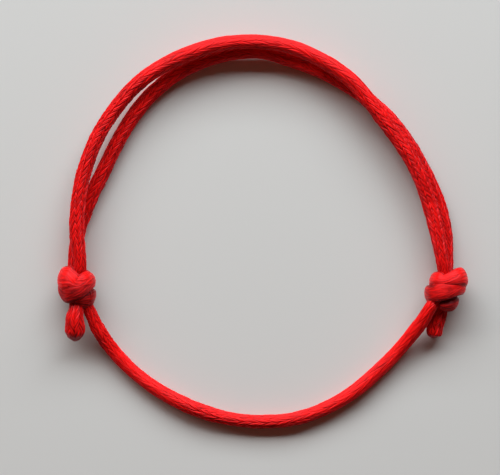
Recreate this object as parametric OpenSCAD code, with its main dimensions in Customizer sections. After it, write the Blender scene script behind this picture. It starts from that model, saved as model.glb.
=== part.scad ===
// Adjustable cord bracelet lying on a table: one satin cord that goes round as a single
// strand on the near side and as two strands side by side on the far side, with a sliding
// knot on the left and on the right. Sizes in millimetres. +Z up, +Y away from the viewer,
// origin on the table under the middle of the bracelet.

/* [Cord] */
// Thickness of the satin cord
cord_d = 2.5; // [1.8:0.1:2.5]
// Share of its thickness that the cord keeps where a knot squeezes it
squeeze = 0.85; // [0.7:0.05:1]

/* [Loop] */
// Radius of the round that the strands' tables are measured from
loop_r = 30; // [27:0.5:36]

/* [Knots] */
// Width of a knot, seen from above
knot_w = 6.3; // [5.6:0.1:7]
// Height of a knot above the table
knot_h = 6.2; // [5.4:0.1:7]
// Thickness of one turn of the knot, from its inside to its outside
turn_thick = 1.9; // [1.5:0.1:2.2]
// Half the length of the core inside a knot's turns
core_half = 2.4; // [1.8:0.1:2.6]

/* [Hidden] */

cord_sides = 8;
turn_sides = 12;
// Sections worked out between two rows of a knot's table
steps = 3;
// Clearance between the end of a strand and the knot that it enters
gap = 0.05;
// How far a knot's core reaches into the turns round it
grip = 0.5;
// Thickness of the disc that stands for one section of a knot's turn
disc = 0.02;
// Share of its distance along the knot that a turn's outside faces away from
splay = 0.6;
cord_colour = [0.82, 0.03, 0.03];

// Routes of the strands, one row a point. Columns: angle round the loop from +X, distance
// outside loop_r, height of the cord's underside above the table, share of its thickness
// that the cord keeps there.
ANGLE = 0;
OUTSIDE = 1;
LIFT = 2;
SHARE = 3;
single_route = [
    [205.8, 1.5, 1.6, squeeze], [211, 1.7, 1, 0.95], [220, 1.7, 0.1, 0.9], [230, 1.6, 0, 0.9],
    [240, 1.5, 0, 0.95], [250, 1.5, 0, 1], [260, 1.6, 0, 0.9], [270, 1.6, 0, 0.9],
    [280, 1.6, 0, 0.9], [290, 1.2, 0, 0.9], [300, 0.7, 0, 0.95], [310, 0.2, 0, 0.95],
    [320, 0.1, 0.4, 0.9], [330, 0.4, 1.7, 0.95], [336, 0.6, 2.8, squeeze]];
upper_route = [
    [-10, 0.4, 3.1, squeeze], [0, -1, 2.6, 1], [10, -1.9, 2.4, 1], [20, -2.3, 2.6, 1],
    [30, -2.6, 2.6, 1], [40, -2.7, 2.6, 1], [50, -2, 2.6, 1], [60, -0.8, 2.5, 1],
    [70, 0.1, 2.4, 1], [80, 1, 2.5, 0.95], [90, 1.5, 2.6, 0.95], [100, 1.9, 2.6, 0.95],
    [110, 2, 2.5, 1], [120, 2.1, 2.4, 1], [130, 2.1, 2.4, 1], [140, 1.8, 2.4, 1],
    [150, 1.5, 2.4, 1], [160, 1.2, 2.5, 1], [170, 0.9, 2.6, 1], [180, 0.7, 2.8, 1],
    [190, 0.6, 3.1, squeeze]];
lower_route = [
    [-10, 1.3, 0.8, squeeze], [0, 0.5, 0.2, 0.95], [10, -0.3, 0, 1], [20, -1.1, 0, 1],
    [30, -1.5, 0, 1], [40, -1.6, 0, 1], [50, -1.7, 0, 1], [60, -1.6, 0, 1],
    [70, -1.4, 0.2, 1], [80, -1, 0.4, 0.95], [90, 0, 0.6, 0.95], [100, 0.2, 0.5, 0.95],
    [110, 0.2, 0.2, 1], [120, -0.1, 0, 1], [130, -0.6, 0, 1], [140, -1.2, 0, 1],
    [150, -1.7, 0, 1], [160, -1.6, 0, 1], [170, -0.7, 0, 1], [180, 0.6, 0.1, 0.95],
    [190, 1.8, 0.8, squeeze]];

// Places of the knots' middles: angle round the loop and distance outside loop_r.
left_place = [196.3, 2.05];
right_place = [-17, 1.8];
// Sideways shift of a knot for each millimetre along it
left_lean = 0;
right_lean = 0.32;

// Turns of the knots, one row a section. Columns: angle round the knot from its top,
// distance along it, width of the cord there, depth below the knot's outside.
TURN = 0;
ALONG = 1;
WIDE = 2;
DEPTH = 3;
left_turns = [
    [-20, -2.3, 1.6, 1.3], [0, -2.3, 2.2, 1.2], [45, -2.2, 3, 0.8], [70, -2.2, 3.4, 0.4],
    [90, -2.1, 3.7, 0.1], [180, -1.8, 2.9, 0.1], [270, -0.4, 2.4, 0], [290, -0.7, 2.6, 0],
    [315, -1.2, 3.3, 0.2], [360, -0.8, 3, 0], [405, 0.2, 2.7, 0], [450, 0.9, 2.6, 0],
    [540, 1.3, 2.9, 0.1], [630, 1.6, 3.4, 0], [675, 1.3, 4.4, 0], [692, 1.1, 3.8, 0],
    [706, 0.9, 3, 0], [720, 0.5, 2.6, 0], [740, 0.6, 2.6, 0], [765, 1.1, 2.6, 0.1],
    [790, 1.4, 2.5, 0.3], [850, 1.9, 2, 1.2]];
right_turns = [
    [0, -2.5, 1.8, 1.5], [45, -2.8, 2.2, 0.9], [90, -2.6, 2.8, 0.2], [180, -1.9, 2.7, 0.1],
    [270, -1, 3, 0], [315, -0.9, 2.9, 0], [360, -0.3, 3.2, 0], [405, 0.4, 3.4, 0],
    [450, 0.7, 3.6, -0.1], [540, 0.8, 3.3, 0.2], [630, 1.3, 2.8, 0.1], [675, 1.4, 2.7, 0],
    [688, 1.3, 2.3, 0], [700, 1.2, 2, 0], [715, 1.3, 2.2, 0], [740, 1.6, 2.6, 0],
    [765, 1.9, 3, 0], [800, 1.8, 3.4, 0], [830, 1.7, 3.2, 0.2], [870, 1.4, 2.6, 1]];

// Routes of the tails, one row a point. Columns: place from the middle of the knot in x, y
// and z, width of the tail there.
END_WIDE = 3;
left_end = [
    [-0.1, -3.8, 0.6, 2.5], [-0.3, -5.2, 0.6, 3], [-0.3, -6.8, 0.3, 3.4],
    [-0.3, -7.6, 0.1, 3.3], [-0.3, -8.3, -0.1, 2.4], [-0.3, -9.2, -0.4, 0.8]];
right_end = [
    [-0.7, -3.7, -1.2, 2.4], [-1.2, -5.2, -1.4, 2.8], [-1.6, -6.4, -1.5, 2.8],
    [-1.7, -7.4, -1.5, 2.7], [-1.8, -8, -1.5, 2.2], [-1.8, -8.4, -1.5, 1.3]];

function unit(v) = v / norm(v);

// Point of the loop at an angle, a distance outside loop_r and a height
function on_loop(angle, outside, height) = [
    (loop_r + outside) * cos(angle), (loop_r + outside) * sin(angle), height];

function strand_radius(row) = cord_d / 2 * row[SHARE];

function loop_points(route) = [
    for (row = route) on_loop(row[ANGLE], row[OUTSIDE], strand_radius(row) + row[LIFT])];

left_middle = on_loop(left_place[0], left_place[1], knot_h / 2);
right_middle = on_loop(right_place[0], right_place[1], knot_h / 2);

function end_points(rows, middle) = [for (row = rows) middle + [row[0], row[1], row[2]]];

// Direction of a row of points at point i
function heading(points, i) =
    unit(points[min(i + 1, len(points) - 1)] - points[max(i - 1, 0)]);

// Corner of a flat-lying cord's section: side k of an even ring round a point
function ring_corner(point, along, radius, k) =
    let (across = unit(cross([0, 0, 1], along)))
    let (up = cross(along, across))
    let (angle = 360 * k / cord_sides)
    point + radius * (across * cos(angle) + up * sin(angle));

// One closed tube along the points, with a radius at each point
module tube(points, radii) {
    last = len(points) - 1;
    corners = [for (i = [0 : last], k = [0 : cord_sides - 1])
        ring_corner(points[i], heading(points, i), radii[i], k)];
    walls = [for (i = [0 : last - 1], k = [0 : cord_sides - 1])
        let (next = (k + 1) % cord_sides)
        [i * cord_sides + k, (i + 1) * cord_sides + k,
         (i + 1) * cord_sides + next, i * cord_sides + next]];
    first_cap = [for (k = [0 : cord_sides - 1]) k];
    last_cap = [for (k = [cord_sides - 1 : -1 : 0]) last * cord_sides + k];
    polyhedron(corners, concat(walls, [first_cap, last_cap]));
}

module strand(route) {
    tube(loop_points(route), [for (row = route) strand_radius(row)]);
}

module tail(rows, middle) {
    tube(end_points(rows, middle), [for (row = rows) row[END_WIDE] / 2]);
}

// Smooth value between rows b and c, a share t of the way
function between(a, b, c, d, t) =
    ((2 * b) + (c - a) * t + (2 * a - 5 * b + 4 * c - d) * t * t
     + (3 * b - a - 3 * c + d) * t * t * t) / 2;

function smooth_rows(rows) = let (last = len(rows) - 1) concat(
    [for (i = [0 : last - 1], s = [0 : steps - 1])
        between(rows[max(i - 1, 0)], rows[i], rows[i + 1], rows[min(i + 2, last)], s / steps)],
    [rows[last]]);

// Middle of a turn's section, measured from the knot's own middle
function turn_point(row, lean) = [
    (knot_w / 2 - turn_thick / 2 - row[DEPTH]) * sin(row[TURN]) + lean * row[ALONG],
    row[ALONG],
    (knot_h / 2 - turn_thick / 2 - row[DEPTH]) * cos(row[TURN])];

// Thin oval disc across a turn, with its thickness away from the knot's middle
module turn_section(points, i, row, lean) {
    along = heading(points, i);
    away = points[i] - splay * [lean * row[ALONG], row[ALONG], 0];
    out = unit(away - (away * along) * along);
    side = cross(out, along);
    multmatrix([
        [side[0], out[0], along[0], points[i][0]],
        [side[1], out[1], along[1], points[i][1]],
        [side[2], out[2], along[2], points[i][2]]])
        linear_extrude(disc, center = true)
            resize([row[WIDE], turn_thick]) circle(r = 1, $fn = turn_sides);
}

module turns(table, lean) {
    rows = smooth_rows(table);
    points = [for (row = rows) turn_point(row, lean)];
    for (i = [0 : len(rows) - 2])
        hull() {
            turn_section(points, i, rows[i], lean);
            turn_section(points, i + 1, rows[i + 1], lean);
        }
}

// What the turns hold together: the squeezed cords inside the knot
module core() {
    inside = 2 * (turn_thick - grip);
    resize([knot_w - inside, 2 * core_half, knot_h - inside])
        sphere(r = 1, $fn = 16);
}

// Short piece of cord from the knot's core to the end of the strand outside it
module stub(middle, point, away, radius) {
    hull() {
        for (k = [0 : cord_sides - 1])
            translate(ring_corner(point - gap * away, away, radius - disc, k))
                cube(disc, center = true);
        translate((middle + point) / 2)
            sphere(r = radius * squeeze, $fn = cord_sides);
        translate(middle)
            sphere(r = radius * squeeze, $fn = cord_sides);
    }
}

// Stubs for a strand's first end (side 0) or last end (side 1)
module strand_stub(middle, route, side) {
    points = loop_points(route);
    at = side == 0 ? 0 : len(points) - 1;
    away = (side == 0 ? 1 : -1) * heading(points, at);
    stub(middle, points[at], away, strand_radius(route[at]));
}

module tail_stub(middle, rows) {
    points = end_points(rows, middle);
    stub(middle, points[0], heading(points, 0), rows[0][END_WIDE] / 2);
}

module single_strand() {
    color(cord_colour) strand(single_route);
}

module upper_strand() {
    color(cord_colour) strand(upper_route);
}

module lower_strand() {
    color(cord_colour) strand(lower_route);
}

module left_knot() {
    color(cord_colour) {
        translate(left_middle) {
            turns(left_turns, left_lean);
            core();
        }
        strand_stub(left_middle, upper_route, 1);
        strand_stub(left_middle, lower_route, 1);
        strand_stub(left_middle, single_route, 0);
        tail_stub(left_middle, left_end);
    }
}

module right_knot() {
    color(cord_colour) {
        translate(right_middle) {
            turns(right_turns, right_lean);
            core();
        }
        strand_stub(right_middle, upper_route, 0);
        strand_stub(right_middle, lower_route, 0);
        strand_stub(right_middle, single_route, 1);
        tail_stub(right_middle, right_end);
    }
}

module left_tail() {
    color(cord_colour) tail(left_end, left_middle);
}

module right_tail() {
    color(cord_colour) tail(right_end, right_middle);
}

single_strand();
upper_strand();
lower_strand();
left_knot();
right_knot();
left_tail();
right_tail();
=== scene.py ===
# Cord bracelet with two sliding knots: its braided satin cord, knots, melted tails and light
import math

import bmesh
import bpy
import numpy as np
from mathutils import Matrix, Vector


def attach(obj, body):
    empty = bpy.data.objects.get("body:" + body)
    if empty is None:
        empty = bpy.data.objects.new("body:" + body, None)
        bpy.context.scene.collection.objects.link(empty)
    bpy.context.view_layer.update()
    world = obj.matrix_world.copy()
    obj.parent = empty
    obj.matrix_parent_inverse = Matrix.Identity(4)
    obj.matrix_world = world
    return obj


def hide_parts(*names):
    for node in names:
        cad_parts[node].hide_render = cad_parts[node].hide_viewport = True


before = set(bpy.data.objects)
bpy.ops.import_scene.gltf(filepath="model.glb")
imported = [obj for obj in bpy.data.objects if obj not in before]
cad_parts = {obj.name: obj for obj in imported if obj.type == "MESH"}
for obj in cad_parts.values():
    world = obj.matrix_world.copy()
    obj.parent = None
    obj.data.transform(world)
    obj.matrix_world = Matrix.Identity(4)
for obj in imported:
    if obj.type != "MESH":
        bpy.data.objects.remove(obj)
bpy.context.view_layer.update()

# Sizes of the cord, the loop and the knots, in metres
CORD = 0.0025
LOOP_R = 0.030
KNOT_WIDE = 0.0063
KNOT_HIGH = 0.0062
TURN_THICK = 0.0019
# Share of its thickness that the cord keeps where a knot squeezes it
SQUEEZE = 0.85
# Millimetres in a metre
MM = 1000

# Routes of the strands: angle round the loop from +X in degrees, distance outside LOOP_R,
# height of the cord's underside above the floor, share of its thickness that it keeps there
SINGLE_ROUTE = [
    (205.8, 0.0015, 0.0016, SQUEEZE), (211, 0.0017, 0.001, 0.95), (220, 0.0017, 0.0001, 0.9),
    (230, 0.0016, 0, 0.9), (240, 0.0015, 0, 0.95), (250, 0.0015, 0, 1), (260, 0.0016, 0, 0.9),
    (270, 0.0016, 0, 0.9), (280, 0.0016, 0, 0.9), (290, 0.0012, 0, 0.9), (300, 0.0007, 0, 0.95),
    (310, 0.0002, 0, 0.95), (320, 0.0001, 0.0004, 0.9), (330, 0.0004, 0.0017, 0.95),
    (336, 0.0006, 0.0028, SQUEEZE)]
UPPER_ROUTE = [
    (-10, 0.0004, 0.0031, SQUEEZE), (0, -0.001, 0.0026, 1), (10, -0.0019, 0.0024, 1),
    (20, -0.0023, 0.0026, 1), (30, -0.0026, 0.0026, 1), (40, -0.0027, 0.0026, 1),
    (50, -0.002, 0.0026, 1), (60, -0.0008, 0.0025, 1), (70, 0.0001, 0.0024, 1),
    (80, 0.001, 0.0025, 0.95), (90, 0.0015, 0.0026, 0.95), (100, 0.0019, 0.0026, 0.95),
    (110, 0.002, 0.0025, 1), (120, 0.0021, 0.0024, 1), (130, 0.0021, 0.0024, 1),
    (140, 0.0018, 0.0024, 1), (150, 0.0015, 0.0024, 1), (160, 0.0012, 0.0025, 1),
    (170, 0.0009, 0.0026, 1), (180, 0.0007, 0.0028, 1), (190, 0.0006, 0.0031, SQUEEZE)]
LOWER_ROUTE = [
    (-10, 0.0013, 0.0008, SQUEEZE), (0, 0.0005, 0.0002, 0.95), (10, -0.0003, 0, 1),
    (20, -0.0011, 0, 1), (30, -0.0015, 0, 1), (40, -0.0016, 0, 1), (50, -0.0017, 0, 1),
    (60, -0.0016, 0, 1), (70, -0.0014, 0.0002, 1), (80, -0.001, 0.0004, 0.95),
    (90, 0, 0.0006, 0.95), (100, 0.0002, 0.0005, 0.95), (110, 0.0002, 0.0002, 1),
    (120, -0.0001, 0, 1), (130, -0.0006, 0, 1), (140, -0.0012, 0, 1), (150, -0.0017, 0, 1),
    (160, -0.0016, 0, 1), (170, -0.0007, 0, 1), (180, 0.0006, 0.0001, 0.95),
    (190, 0.0018, 0.0008, SQUEEZE)]

# Turns of the knots: angle round the knot from its top in degrees, distance along it towards the
# doubled half of the loop, width of the cord there, depth below the knot's outside
LEFT_TURNS = [
    (-20, -0.0023, 0.0016, 0.0013), (0, -0.0023, 0.0022, 0.0012), (45, -0.0022, 0.003, 0.0008),
    (70, -0.0022, 0.0034, 0.0004), (90, -0.0021, 0.0037, 0.0001), (180, -0.0018, 0.0029, 0.0001),
    (270, -0.0004, 0.0024, 0), (290, -0.0007, 0.0026, 0), (315, -0.0012, 0.0033, 0.0002),
    (360, -0.0008, 0.003, 0), (405, 0.0002, 0.0027, 0), (450, 0.0009, 0.0026, 0),
    (540, 0.0013, 0.0029, 0.0001), (630, 0.0016, 0.0034, 0), (675, 0.0013, 0.0044, 0),
    (692, 0.0011, 0.0038, 0), (706, 0.0009, 0.003, 0), (720, 0.0005, 0.0026, 0),
    (740, 0.0006, 0.0026, 0), (765, 0.0011, 0.0026, 0.0001), (790, 0.0014, 0.0025, 0.0003),
    (850, 0.0019, 0.002, 0.0012)]
RIGHT_TURNS = [
    (0, -0.0025, 0.0018, 0.0015), (45, -0.0028, 0.0022, 0.0009), (90, -0.0026, 0.0028, 0.0002),
    (180, -0.0019, 0.0027, 0.0001), (270, -0.001, 0.003, 0), (315, -0.0009, 0.0029, 0),
    (360, -0.0003, 0.0032, 0), (405, 0.0004, 0.0034, 0), (450, 0.0007, 0.0036, -0.0001),
    (540, 0.0008, 0.0033, 0.0002), (630, 0.0013, 0.0028, 0.0001), (675, 0.0014, 0.0027, 0),
    (688, 0.0013, 0.0023, 0), (700, 0.0012, 0.002, 0), (715, 0.0013, 0.0022, 0),
    (740, 0.0016, 0.0026, 0), (765, 0.0019, 0.003, 0), (800, 0.0018, 0.0034, 0),
    (830, 0.0017, 0.0032, 0.0002), (870, 0.0014, 0.0026, 0.001)]
# How far a knot slants aside for each metre along it
LEFT_LEAN = 0
RIGHT_LEAN = 0.32
# A turn's outside faces away from a point of the knot's axis that lies at this share of the
# turn's distance along the knot, so the turns at both ends face a little outwards
SPLAY = 0.6

# Routes of the tails: place from the knot's middle, width there
LEFT_END = [
    (-0.0001, -0.0038, 0.0006, 0.0025), (-0.0003, -0.0052, 0.0006, 0.003),
    (-0.0003, -0.0068, 0.0003, 0.0034), (-0.0003, -0.0076, 0.0001, 0.0033),
    (-0.0003, -0.0083, -0.0001, 0.0024), (-0.0003, -0.0092, -0.0004, 0.0008)]
RIGHT_END = [
    (-0.0007, -0.0037, -0.0012, 0.0024), (-0.0012, -0.0052, -0.0014, 0.0028),
    (-0.0016, -0.0064, -0.0015, 0.0028), (-0.0017, -0.0074, -0.0015, 0.0027),
    (-0.0018, -0.008, -0.0015, 0.0022), (-0.0018, -0.0084, -0.0015, 0.0013)]


# Routes


def on_loop(angle, outside, height):
    """Point of the loop at an angle in degrees, a distance outside LOOP_R and a height."""
    turn = math.radians(angle)
    return Vector(((LOOP_R + outside) * math.cos(turn), (LOOP_R + outside) * math.sin(turn), height))


# Middles of the knots
LEFT_MIDDLE = on_loop(196.3, 0.00205, KNOT_HIGH / 2)
RIGHT_MIDDLE = on_loop(-17, 0.0018, KNOT_HIGH / 2)


def strand_points(route):
    return [on_loop(angle, outside, CORD * share / 2 + lift) for angle, outside, lift, share in route]


def smooth(rows, steps):
    """A smooth curve through the rows, with so many steps from each of them to the next."""
    rows = np.array(rows, float)
    padded = np.vstack([2 * rows[0] - rows[1], rows, 2 * rows[-1] - rows[-2]])
    t = np.arange(steps)[:, None] / steps
    spans = []
    for a, b, c, d in zip(padded, padded[1:], padded[2:], padded[3:]):
        spans.append((2 * b + (c - a) * t + (2 * a - 5 * b + 4 * c - d) * t ** 2
                      + (3 * b - a - 3 * c + d) * t ** 3) / 2)
    return np.vstack(spans + [rows[-1:]])


def evenly(rows, points, step):
    """The rows again, at even distances of about step along the points, and those distances."""
    along = np.concatenate([[0], np.cumsum(np.linalg.norm(np.diff(points, axis=0), axis=1))])
    at = np.linspace(0, along[-1], round(along[-1] / step))
    return np.stack([np.interp(at, along, column) for column in rows.T], axis=1), at


def unit(v):
    return v / np.linalg.norm(v, axis=-1, keepdims=True)


# Camera

# Width of the picture at the middle height of the cord, and how far above that the camera stands
PICTURE_WIDE = 0.08333
CORD_HEIGHT = 0.0015
CAMERA_ABOVE = 0.45
VIEW_MIDDLE = (-0.002, -0.0009)
SENSOR_WIDE = 36
NEAREST_SEEN = 0.01


def make_camera():
    data = bpy.data.cameras.new("camera")
    data.sensor_width = SENSOR_WIDE
    data.lens = SENSOR_WIDE * CAMERA_ABOVE / PICTURE_WIDE
    data.clip_start = NEAREST_SEEN
    camera = bpy.data.objects.new("camera", data)
    camera.location = (*VIEW_MIDDLE, CORD_HEIGHT + CAMERA_ABOVE)
    bpy.context.scene.collection.objects.link(camera)
    bpy.context.scene.camera = camera


make_camera()


# Braid of the cord

# Columns of yarns round the cord
RIBS = 12
RIB_WIDE = math.pi * CORD / RIBS
# Faces of the mesh round the cord, and their length along it
SIDES = 120
STEP = 0.00014
# Height of the braid from its gaps to its highest yarns, on loose cord and in the knots
YARN_RELIEF = 0.00036
KNOT_RELIEF = 0.00008
# Height in the braid, from 0 to 1, that lies level with the plain tube
LEVEL = 0.72

# How steeply the yarns cross the cord, in degrees, at angles round the loop: the braid is
# short where the cord lies slack and drawn out long where it was pulled
SINGLE_WEAVE = [
    (204, 27), (214, 25), (221, 13), (237, 13), (250, 19), (285, 16), (298, 12), (328, 12),
    (336, 18)]
UPPER_WEAVE = [
    (-10, 30), (28, 30), (42, 22), (60, 17), (80, 14), (112, 15), (130, 21), (150, 27), (190, 28)]
LOWER_WEAVE = [
    (-10, 30), (28, 28), (60, 20), (90, 15), (120, 18), (145, 24), (190, 26)]
# Share of the width that the columns leaning to the right take, at angles round the loop
SINGLE_SHARE = [
    (204, 0.65), (230, 0.4), (270, 0.5), (330, 0.6)]
UPPER_SHARE = [
    (-10, 0.5), (0, 0.3), (40, 0.3), (70, 0.5), (120, 0.5), (140, 0.7), (175, 0.7), (190, 0.5)]
LOWER_SHARE = [
    (-10, 0.5), (90, 0.5), (130, 0.65), (190, 0.6)]

# Steepness of the yarns where the cord is drawn out and where it is slack, and the share of
# the relief that is left where it is drawn out
DRAWN_STEEP = 13
SLACK_STEEP = 23
DRAWN_RELIEF = 0.45
# Steepness in the knots and in the tails, and the share of the columns there
KNOT_STEEP = 9
TAIL_STEEP = 26
EVEN_SHARE = 0.5

# Each yarn is two bundles of filaments: depth and width of the dip between them, how full the
# yarn's section is, its height where it dives under its neighbours, and how its height varies
SPLIT_DEPTH = 0.4
SPLIT_WIDE = 0.2
YARN_FULLNESS = 2.2
DIVE_HEIGHT = 0.45
LOW_YARN = 0.7
YARN_VARIES = 0.3

# How uneven the cord is. A drift is an amount and a length along the cord in metres, and a
# wobble has its number of cells round the cord as well. The amounts are columns for the columns,
# rows for the yarns, shares for share and thickness, and metres for the lumps
COLUMN_DRIFT = (0.7, 0.021)
SHARE_DRIFT = (0.06, 0.017)
THICKNESS_DRIFT = (0.012, 0.011)
COLUMN_WOBBLE = (0.22, 0.0011, 6)
YARN_WOBBLE = (0.3, 0.0014, 5)
MELT_LUMPS = (0.00025, 0.0005, 14)
# Length of the darker and lighter patches, their number round the cord, and the yarn's share in
# the tone of each place
PATCH_LONG = 0.0013
PATCH_CELLS = 9
YARN_TONE = 0.5
# How much deeper the painted shade is at the edges of a knot's turns, where they meet in creases, and
# how narrow those edges are
EDGE_DEEPER = 2
EDGE_NARROW = 6
# Numbers without a pattern, which make the chances of neighbouring yarns unlike
SCATTER = (12.9898, 78.233, 37.719, 43758.5453)
# The waves of a drift: how many there are to its length, and how far the salt shifts them
WAVES = ((1, 1), (1.7, 2.3), (0.61, 4.1))


def chance(column, row, salt):
    """A number from 0 to 1 for each yarn of the braid, always the same one."""
    a, b, c, size = SCATTER
    return np.modf(np.abs(np.sin(column * a + row * b + salt * c) * size))[0]


def drift(along, unevenness, salt):
    """A slow wave up to the amount either way, which never quite repeats."""
    amount, length = unevenness
    turn = 2 * math.pi * along / length
    waves = sum(np.sin(often * turn + shift * salt) for often, shift in WAVES)
    return amount * (waves / len(WAVES))


def grain(along, place, cells, salt):
    """Smooth noise from 0 to 1 that meets itself after so many cells round the cord."""
    a, b = np.floor(along), np.floor(place)
    s, t = along - a, place - b
    s, t = s * s * (3 - 2 * s), t * t * (3 - 2 * t)
    near, far = np.mod(b, cells), np.mod(b + 1, cells)
    low = chance(near, a, salt) * (1 - s) + chance(near, a + 1, salt) * s
    high = chance(far, a, salt) * (1 - s) + chance(far, a + 1, salt) * s
    return low * (1 - t) + high * t


def round_grain(along, turn, length, cells, salt):
    """Grain on the cord's surface, with cells of a length along it and a number of them round it."""
    return grain(along / length, turn / (2 * math.pi) * cells, cells, salt)


def wobble(along, turn, unevenness, salt):
    """Smooth noise up to half the amount either way, along the cord and round it."""
    amount, length, cells = unevenness
    return amount * (round_grain(along, turn, length, cells, salt) - 0.5)


def column_at(place, share):
    """Column of yarns at a place round the cord, in ribs: its number, its lean, its width and
    its middle. Columns that lean one way and the other take turns."""
    pair = np.floor(place / 2)
    rest = place - 2 * pair
    first = rest < 2 * share
    wide = np.where(first, 2 * share, 2 - 2 * share)
    middle = 2 * pair + np.where(first, share, 1 + share)
    return np.mod(2 * pair + np.where(first, 0, 1), RIBS), np.where(first, 1.0, -1.0), wide, middle


def stagger(side):
    """Yarns that lean one way start half a row after those that lean the other way."""
    return np.where(side > 0, 0.25, 0.75)


def yarn_at(place, phase, side, wide, middle):
    """Row of the yarn in its column, place across the yarn and place along it, each -1 to 1."""
    across = (place - middle) / wide
    t = phase - side * (place - middle) - stagger(side)
    row = np.round(t)
    return row, 2 * (t - row), 2 * across


def braid(place, phase, share):
    """Height of the braid, from 0 between the yarns to 1 on the highest, and a shade for each yarn."""
    column, side, wide, middle = column_at(place, share)
    row, off, across = yarn_at(place, phase, side, wide, middle)
    split = 1 - SPLIT_DEPTH * np.exp(-(off / SPLIT_WIDE) ** 2)
    crown = np.sqrt(np.clip(1 - np.abs(off) ** YARN_FULLNESS, 0, 1)) * split
    above = np.sqrt(np.clip(np.cos(math.pi / 2 * np.clip(across, -1, 1)), 0, 1))
    lift = LOW_YARN + YARN_VARIES * chance(column, row, 1)
    return crown * (DIVE_HEIGHT + (1 - DIVE_HEIGHT) * above) * lift, chance(column, row, 2)


# Swept pieces


def oval(turn, half_wide, half_thick, fullness):
    """Points of a full oval and their outward directions. Fullness 2 is an ellipse."""
    c, s = np.cos(turn), np.sin(turn)
    x = half_wide * np.sign(c) * np.abs(c) ** (2 / fullness)
    y = half_thick * np.sign(s) * np.abs(s) ** (2 / fullness)
    nx = np.sign(c) * np.abs(c) ** (2 - 2 / fullness) / half_wide
    ny = np.sign(s) * np.abs(s) ** (2 - 2 / fullness) / half_thick
    size = np.sqrt(nx ** 2 + ny ** 2)
    return x, y, nx / size, ny / size


def new_grid(name, rings):
    """A flat grid to be wrapped round a cord, with each vertex's turn round it and its ring."""
    bm = bmesh.new()
    bmesh.ops.create_grid(bm, x_segments=SIDES, y_segments=rings - 1, size=1)
    mesh = bpy.data.meshes.new(name)
    bm.to_mesh(mesh)
    bm.free()
    flat = np.zeros(len(mesh.vertices) * 3, np.float32)
    mesh.vertices.foreach_get("co", flat)
    flat = flat.reshape(-1, 3)
    turn = (flat[:, 0] + 1) * math.pi
    ring = np.clip(np.round((flat[:, 1] + 1) / 2 * (rings - 1)).astype(int), 0, rings - 1)
    return mesh, turn, ring


def new_look(along, salt, **given):
    """How the braid lies on a cord, with a value for each ring: the height of its relief, the
    depth of the painted shade on a knot, the steepness of its yarns, the share of its columns, how far
    the tube is open and how melted it is. The salt sets the cord's unevenness apart from the others'."""
    look = dict(relief=YARN_RELIEF, crease=0, weave=TAIL_STEEP, share=EVEN_SHARE, closing=1, melt=0)
    look.update(given)
    look = {name: value + 0 * along for name, value in look.items()}
    look["salt"] = salt
    return look


def sweep(name, line, side, out, half_wide, half_thick, fullness, along, look):
    """A closed tube round the line, with the braid raised on it. The numbers added to the salt
    keep one kind of unevenness apart from another."""
    half_wide, half_thick, fullness = (value + 0 * along for value in (half_wide, half_thick, fullness))
    mesh, turn, ring = new_grid(name, len(line))
    along_at, salt = along[ring], look["salt"]
    # The columns wander a little round the cord, and the yarns a little along it
    steep = np.tan(np.radians(look["weave"])) / RIB_WIDE
    phase_ring = np.concatenate([[0], np.cumsum((steep[1:] + steep[:-1]) / 2 * np.diff(along))])
    share = (look["share"] + drift(along, SHARE_DRIFT, salt + 5))[ring]
    place = turn / (2 * math.pi) * RIBS + drift(along, COLUMN_DRIFT, salt)[ring]
    place = place + wobble(along_at, turn, COLUMN_WOBBLE, salt + 3)
    phase = phase_ring[ring] + wobble(along_at, turn, YARN_WOBBLE, salt + 4)
    height, shade = braid(place, phase, share)
    # Melted cord has lumps in place of yarns
    relief, melt, closing = look["relief"][ring], look["melt"][ring], look["closing"][ring]
    rise = relief * (height - LEVEL) * (1 - melt) + wobble(along_at, turn, MELT_LUMPS, salt + 7) * melt
    x, y, nx, ny = oval(turn, half_wide[ring], half_thick[ring], fullness[ring])
    x, y = (x + nx * rise) * closing, (y + ny * rise) * closing
    place_in_space = line[ring] + side[ring] * x[:, None] + out[ring] * y[:, None]
    mesh.vertices.foreach_set("co", place_in_space.astype(np.float32).ravel())
    # Painted shade, deepest in the gaps between yarns and, on a knot, at the edges of its turns and
    # towards its near end
    crease = look["crease"][ring] * (1 + EDGE_DEEPER * np.abs(np.cos(turn)) ** EDGE_NARROW)
    keep_values(mesh, "painted_shade", relief / YARN_RELIEF * (1 - height) + crease)
    patches = round_grain(along_at, turn, PATCH_LONG, PATCH_CELLS, salt + 8)
    keep_values(mesh, "tone", YARN_TONE * shade + (1 - YARN_TONE) * patches)
    keep_values(mesh, "melt", melt)
    lay_filaments(mesh, place, phase, share, look["weave"][ring])
    weld(mesh)
    return mesh


def keep_values(mesh, name, values):
    layer = mesh.attributes.new(name, "FLOAT", "POINT")
    layer.data.foreach_set("value", values.astype(np.float32))


# The yarns read the patterns of the filaments up to so many millimetres apart, along and across
PATTERN_APART = (11, 7)


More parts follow.
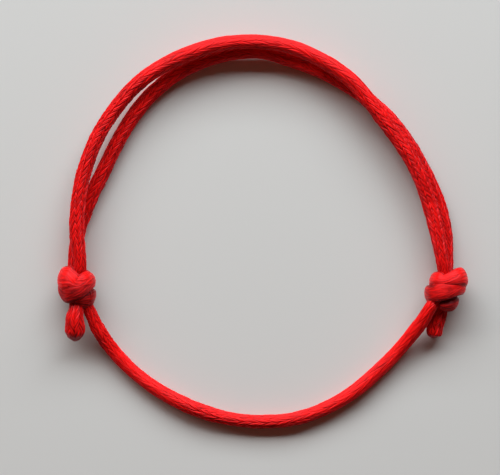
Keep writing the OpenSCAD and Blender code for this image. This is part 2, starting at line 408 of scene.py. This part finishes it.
def lay_filaments(mesh, place, phase, share, weave):
    """A UV map whose U runs along the filaments of each yarn, and V across them, in millimetres."""
    corner = np.zeros(len(mesh.loops), np.int32)
    mesh.loops.foreach_get("vertex_index", corner)
    corner = corner.reshape(-1, 4)
    column, side, wide, middle = column_at(place[corner].mean(1), share[corner].mean(1))
    row = yarn_at(place[corner].mean(1), phase[corner].mean(1), side, wide, middle)[0]
    lean = np.radians(weave[corner].mean(1))
    start = row + stagger(side)
    # Distances from the middle of the yarn, in millimetres
    r = (place[corner] - middle[:, None]) * RIB_WIDE * MM
    a = (phase[corner] - start[:, None]) * (RIB_WIDE / np.tan(lean))[:, None] * MM
    u = a * np.cos(lean)[:, None] + r * (side * np.sin(lean))[:, None]
    v = r * np.cos(lean)[:, None] - a * (side * np.sin(lean))[:, None]
    u = u + PATTERN_APART[0] * chance(column, row, 8)[:, None]
    v = v + PATTERN_APART[1] * chance(column, row, 9)[:, None]
    layer = mesh.uv_layers.new(name="filament")
    layer.data.foreach_set("uv", np.stack([u, v], axis=2).astype(np.float32).ravel())


# Vertices of the seam that are nearer than this become one
SEAM_GAP = 1e-6
# Edges that are shorter than this go
NO_EDGE = 1e-8


def weld(mesh):
    """Closes the seam and the two ends of a swept grid."""
    bm = bmesh.new()
    bm.from_mesh(mesh)
    rim = [v for v in bm.verts if v.is_boundary]
    bmesh.ops.remove_doubles(bm, verts=rim, dist=SEAM_GAP)
    bmesh.ops.dissolve_degenerate(bm, edges=bm.edges, dist=NO_EDGE)
    for face in bm.faces:
        face.smooth = True
    bm.to_mesh(mesh)
    bm.free()


def new_piece(name, mesh):
    piece = bpy.data.objects.new(name, mesh)
    bpy.context.scene.collection.objects.link(piece)
    return piece


def rounded_ends(along, reach):
    """How far the tube is open at each ring: 1, and down to 0 over reach at both ends."""
    near = np.minimum(along, along[-1] - along)
    t = np.clip(1 - near / reach, 0, 1)
    return np.sqrt(np.clip(1 - t ** 2, 0, 1))


def flat_lying(line):
    """Side and upward directions of a cord whose line is nowhere upright."""
    along = unit(np.gradient(line, axis=0))
    side = unit(np.cross([0, 0, 1], along))
    return side, np.cross(along, side)


# Fullness of a round cord's section
ROUND = 2
# Share of the way to a knot's middle that a strand runs on inside the knot
INTO_KNOT = 0.7
# Length over which the ends of the cord close, inside the knots and at the tips of the tails
HIDDEN_END = 0.0008
TAIL_TIP = 0.0006
# Steps from each row of a route to the next, and from each row of a knot's or tail's table
ROUTE_STEPS = 40
KNOT_STEPS = 30


def make_strand(name, route, weave, share, first_knot, last_knot, salt):
    """One strand of the loop. Both its ends run on into the knots."""
    points = strand_points(route)
    start = points[0] + INTO_KNOT * (first_knot - points[0])
    end = points[-1] + INTO_KNOT * (last_knot - points[-1])
    thickness = [SQUEEZE, *[row[3] for row in route], SQUEEZE]
    fine = smooth(np.column_stack([[start, *points, end], thickness]), ROUTE_STEPS)
    even, along = evenly(fine, fine[:, :3], STEP)
    rows = even[:, :3]
    side, out = flat_lying(rows)
    radius = CORD / 2 * even[:, 3] * (1 + drift(along, THICKNESS_DRIFT, salt))
    round_loop = np.degrees(np.unwrap(np.arctan2(rows[:, 1], rows[:, 0])))
    round_loop = round_loop + 360 * np.round((route[0][0] - round_loop[0]) / 360)
    steep = np.interp(round_loop, *zip(*weave))
    # Where the braid is drawn out long its yarns lie flat
    slack = np.clip((steep - DRAWN_STEEP) / (SLACK_STEEP - DRAWN_STEEP), 0, 1)
    relief = YARN_RELIEF * (DRAWN_RELIEF + (1 - DRAWN_RELIEF) * slack)
    look = new_look(along, salt, relief=relief, weave=steep, share=np.interp(round_loop, *zip(*share)),
                    closing=rounded_ends(along, HIDDEN_END))
    mesh = sweep(name, rows, side, out, radius, radius, ROUND, along, look)
    piece = new_piece(name, mesh)
    return piece


single = make_strand("satin_strand_single", SINGLE_ROUTE, SINGLE_WEAVE, SINGLE_SHARE,
                     LEFT_MIDDLE, RIGHT_MIDDLE, salt=1.0)
upper = make_strand("satin_strand_upper", UPPER_ROUTE, UPPER_WEAVE, UPPER_SHARE,
                    RIGHT_MIDDLE, LEFT_MIDDLE, salt=2.0)
lower = make_strand("satin_strand_lower", LOWER_ROUTE, LOWER_WEAVE, LOWER_SHARE,
                    RIGHT_MIDDLE, LEFT_MIDDLE, salt=3.0)


# Knots

# Painted shade on the knots: the distance along a knot over which it deepens towards the knot's near
# end, which faces away from the windows, its depth elsewhere, greatest at the edges of the turns, and
# what the near end adds to it
SHADE_DEEPENS_OVER = 0.002
KNOT_SHADE_DEPTH = 0.2
NEAR_END_SHADE = 0.5
# Fullness of a turn's section at the sides of the knot, and how much flatter it is on top
SIDE_FULLNESS = 2.1
FLATTER_TOP = 0.4


def turn_rows(table, lean, middle):
    """Fine rows of a knot's cord: place, side, outward direction, half width, fullness, and
    distance along it."""
    rows = smooth(table, KNOT_STEPS)
    turn = np.radians(rows[:, 0])
    depth = rows[:, 3]
    axis = np.stack([lean * rows[:, 1], rows[:, 1], 0 * rows[:, 1]], axis=1)
    wide = KNOT_WIDE / 2 - TURN_THICK / 2 - depth
    high = KNOT_HIGH / 2 - TURN_THICK / 2 - depth
    place = axis + np.stack([wide * np.sin(turn), 0 * turn, high * np.cos(turn)], axis=1)
    fullness = SIDE_FULLNESS + FLATTER_TOP * np.abs(np.cos(turn))
    both, along = evenly(np.column_stack([place, SPLAY * axis, rows[:, 2] / 2, fullness]), place, STEP)
    line, axis = both[:, :3], both[:, 3:6]
    heading = unit(np.gradient(line, axis=0))
    away = line - axis
    out = unit(away - (away * heading).sum(1)[:, None] * heading)
    side = np.cross(out, heading)
    return line + np.array(middle), side, out, both[:, 6], both[:, 7], along


def make_knot(name, table, lean, middle, painted_shade_from, salt):
    """A knot. Painted shade deepens on its cord from a given distance along it down to its near end,
    the end away from the windows."""
    line, side, out, half, fullness, along = turn_rows(table, lean, middle)
    # Painted shade, deepening towards -Y, the knot's side away from the windows
    near_shade_share = np.clip((painted_shade_from - (line[:, 1] - middle[1])) / SHADE_DEEPENS_OVER, 0, 1)
    look = new_look(along, salt, relief=KNOT_RELIEF, crease=KNOT_SHADE_DEPTH + NEAR_END_SHADE * near_shade_share,
                    weave=KNOT_STEEP, closing=rounded_ends(along, HIDDEN_END))
    return new_piece(name, sweep(name, line, side, out, half, TURN_THICK / 2, fullness, along, look))


left_knot = make_knot("satin_knot_left", LEFT_TURNS, LEFT_LEAN, LEFT_MIDDLE,
                      painted_shade_from=0.001, salt=4.0)
right_knot = make_knot("satin_knot_right", RIGHT_TURNS, RIGHT_LEAN, RIGHT_MIDDLE,
                       painted_shade_from=0.0001, salt=5.0)


# Tails

# Where a tail starts inside its knot: share of its first row's places aside and up, place along
# the knot, and width there
HIDDEN_ASIDE = 0.3
HIDDEN_ALONG = -0.001
HIDDEN_WIDE = 0.0019
# Length over which braid turns to melted cord
MELT_OVER = 0.0005


def make_tail(name, rows, middle, melted, salt):
    """A tail of the cord, melted over its last stretch so that it doesn't fray."""
    rows = np.array(rows, float)
    into_knot = [HIDDEN_ASIDE * rows[0, 0], HIDDEN_ALONG, HIDDEN_ASIDE * rows[0, 2], HIDDEN_WIDE]
    fine = smooth(np.vstack([into_knot, rows]), KNOT_STEPS)
    even, along = evenly(fine, fine[:, :3], STEP)
    line = even[:, :3] + np.array(middle)
    side, out = flat_lying(line)
    half = even[:, 3] / 2
    melt = np.clip((along - along[-1] + melted) / MELT_OVER, 0, 1)
    look = new_look(along, salt, closing=rounded_ends(along, TAIL_TIP), melt=melt)
    return new_piece(name, sweep(name, line, side, out, half, half, ROUND, along, look))


left_tail = make_tail("satin_tail_left", LEFT_END, LEFT_MIDDLE, melted=0.0015, salt=6.0)
right_tail = make_tail("satin_tail_right", RIGHT_END, RIGHT_MIDDLE, melted=0.0007, salt=7.0)


# Materials

# The crown's red, and the red of the painted shade in the gaps between yarns and on the knots
CROWN_RED = (0.95, 0.008, 0.007, 1)
GAP_SHADE_RED = (0.16, 0.001, 0.001, 1)
MELTED_RED = (0.36, 0.001, 0.004, 1)
GLOSS_RED = (1.0, 0.5, 0.6, 1)
SHEEN_RED = (1.0, 0.05, 0.08, 1)
# The gloss is drawn out a quarter turn from the UV map's U, so it lies across the filaments
SATIN = {
    "Sheen Weight": 0.6, "Sheen Roughness": 0.4, "Sheen Tint": SHEEN_RED, "Anisotropic": 0.8,
    "Anisotropic Rotation": 0.25, "Specular IOR Level": 0.28, "Specular Tint": GLOSS_RED}
SATIN_ROUGHNESS = 0.45
MELTED_ROUGHNESS = 0.35
FILAMENT_BUMP = {"Strength": 0.8, "Distance": 0.0001}
# Cells for each millimetre of the fine filaments, which are bumps, and of the bundles of them,
# which are streaks of shade, along them and across. The last number has no effect on a UV map
FILAMENTS = (0.35, 4.5, 1)
BUNDLES = (0.7, 4.5, 1)
# Shares of the shade between crown and gap: from the yarn and its patch, and from the bundles
TONE_SHARE = 0.5
STREAK_SHARE = 1.8
# Shades at which the crown's red begins to darken and at which it has become the red of the painted
# shade in the gaps
CROWN_AT = 1.25
GAP_AT = 2.2


def new_material(name):
    material = bpy.data.materials.new(name)
    material.use_nodes = True
    return material, material.node_tree.nodes, material.node_tree.links


def set_sockets(node, values):
    for socket, value in values.items():
        node.inputs[socket].default_value = value


def value_of(nodes, name):
    node = nodes.new("ShaderNodeAttribute")
    node.attribute_name = name
    return node.outputs["Fac"]


def stretched_noise(nodes, links, uv, stretch):
    """Noise on the UV map, stretched so that it has so many cells for each millimetre."""
    mapping = nodes.new("ShaderNodeMapping")
    mapping.inputs["Scale"].default_value = stretch
    links.new(uv, mapping.inputs["Vector"])
    noise = nodes.new("ShaderNodeTexNoise")
    set_sockets(noise, {"Scale": 1, "Detail": 2})
    links.new(mapping.outputs["Vector"], noise.inputs["Vector"])
    return noise.outputs["Fac"]


def added(nodes, links, value, times, other):
    """The value so many times, and the other added to it."""
    node = nodes.new("ShaderNodeMath")
    node.operation = "MULTIPLY_ADD"
    node.inputs[1].default_value = times
    links.new(value, node.inputs[0])
    links.new(other, node.inputs[2])
    return node.outputs["Value"]


def ranged(nodes, links, value, source, target):
    """The value moved from the source's range to the target's, and kept inside it."""
    node = nodes.new("ShaderNodeMapRange")
    set_sockets(node, dict(zip(("From Min", "From Max", "To Min", "To Max"), (*source, *target))))
    links.new(value, node.inputs["Value"])
    return node.outputs["Result"]


def mixed(nodes, links, share, first, second):
    """A colour that goes from first to second as the share goes from 0 to 1."""
    mix = nodes.new("ShaderNodeMix")
    mix.data_type = "RGBA"
    colours = [socket for socket in mix.inputs if socket.type == "RGBA"]
    links.new(share, mix.inputs["Factor"])
    for socket, colour in zip(colours, (first, second)):
        if isinstance(colour, tuple):
            socket.default_value = colour
        else:
            links.new(colour, socket)
    return [socket for socket in mix.outputs if socket.type == "RGBA"][0]


def satin_material():
    """Dyed satin filaments: bright on the crown of each yarn, with painted shade in the gaps and on the
    knots, and deep red where melted.
    """
    material, nodes, links = new_material("red_satin")
    shader = nodes["Principled BSDF"]
    set_sockets(shader, SATIN)
    tangent = nodes.new("ShaderNodeTangent")
    tangent.direction_type = "UV_MAP"
    tangent.uv_map = "filament"
    links.new(tangent.outputs["Tangent"], shader.inputs["Tangent"])
    uv = nodes.new("ShaderNodeUVMap")
    uv.uv_map = "filament"
    bump = nodes.new("ShaderNodeBump")
    set_sockets(bump, FILAMENT_BUMP)
    links.new(stretched_noise(nodes, links, uv.outputs["UV"], FILAMENTS), bump.inputs["Height"])
    links.new(bump.outputs["Normal"], shader.inputs["Normal"])
    streaks = stretched_noise(nodes, links, uv.outputs["UV"], BUNDLES)
    shade = added(nodes, links, streaks, STREAK_SHARE, value_of(nodes, "painted_shade"))
    shade = added(nodes, links, value_of(nodes, "tone"), TONE_SHARE, shade)
    gap = ranged(nodes, links, shade, (CROWN_AT, GAP_AT), (0, 1))
    dyed = mixed(nodes, links, gap, CROWN_RED, GAP_SHADE_RED)
    melt = value_of(nodes, "melt")
    links.new(mixed(nodes, links, melt, dyed, MELTED_RED), shader.inputs["Base Color"])
    roughness = ranged(nodes, links, melt, (0, 1), (SATIN_ROUGHNESS, MELTED_ROUGHNESS))
    links.new(roughness, shader.inputs["Roughness"])
    return material


red_satin = satin_material()
for piece, node in ((single, "single_strand"), (upper, "upper_strand"), (lower, "lower_strand"),
                    (left_knot, "left_knot"), (right_knot, "right_knot"),
                    (left_tail, "left_tail"), (right_tail, "right_tail")):
    piece.data.materials.append(red_satin)
    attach(piece, "root")
    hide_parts(node)


# Floor and light

FLOOR = {"Base Color": (0.62, 0.60, 0.587, 1), "Roughness": 0.7, "Specular IOR Level": 0.2}
FLOOR_HALF = 0.6
ROOM = {"Color": (1.0, 0.36, 0.24, 1), "Strength": 0.086}


def make_floor():
    bm = bmesh.new()
    bmesh.ops.create_grid(bm, x_segments=1, y_segments=1, size=FLOOR_HALF)
    mesh = bpy.data.meshes.new("floor")
    bm.to_mesh(mesh)
    bm.free()
    floor = bpy.data.objects.new("floor", mesh)
    bpy.context.scene.collection.objects.link(floor)
    material, nodes, links = new_material("pale_floor")
    set_sockets(nodes["Principled BSDF"], FLOOR)
    mesh.materials.append(material)


def make_pane(name, middle, wide, high, watts, colour):
    """An upright pane of light beyond the doubled half of the loop, which faces towards -Y."""
    data = bpy.data.lights.new(name, "AREA")
    data.shape = "RECTANGLE"
    data.size = wide
    data.size_y = high
    data.energy = watts
    data.color = colour
    pane = bpy.data.objects.new(name, data)
    pane.location = middle
    pane.rotation_euler = Vector((0, -1, 0)).to_track_quat("-Z", "Z").to_euler()
    bpy.context.scene.collection.objects.link(pane)


def make_room():
    """The dim warm light that comes from the rest of the room."""
    world = bpy.data.worlds.new("room")
    world.use_nodes = True
    set_sockets(world.node_tree.nodes["Background"], ROOM)
    bpy.context.scene.world = world


make_floor()
make_pane("side window", (-0.975, 0.50, 0.50), wide=1.05, high=0.15, watts=4.4, colour=(1.0, 0.97, 0.93))
make_pane("window", (0.00, 0.50, 0.375), wide=0.90, high=0.40, watts=9.8, colour=(0.88, 0.98, 1.0))
make_room()
bpy.context.scene.view_settings.view_transform = "Standard"
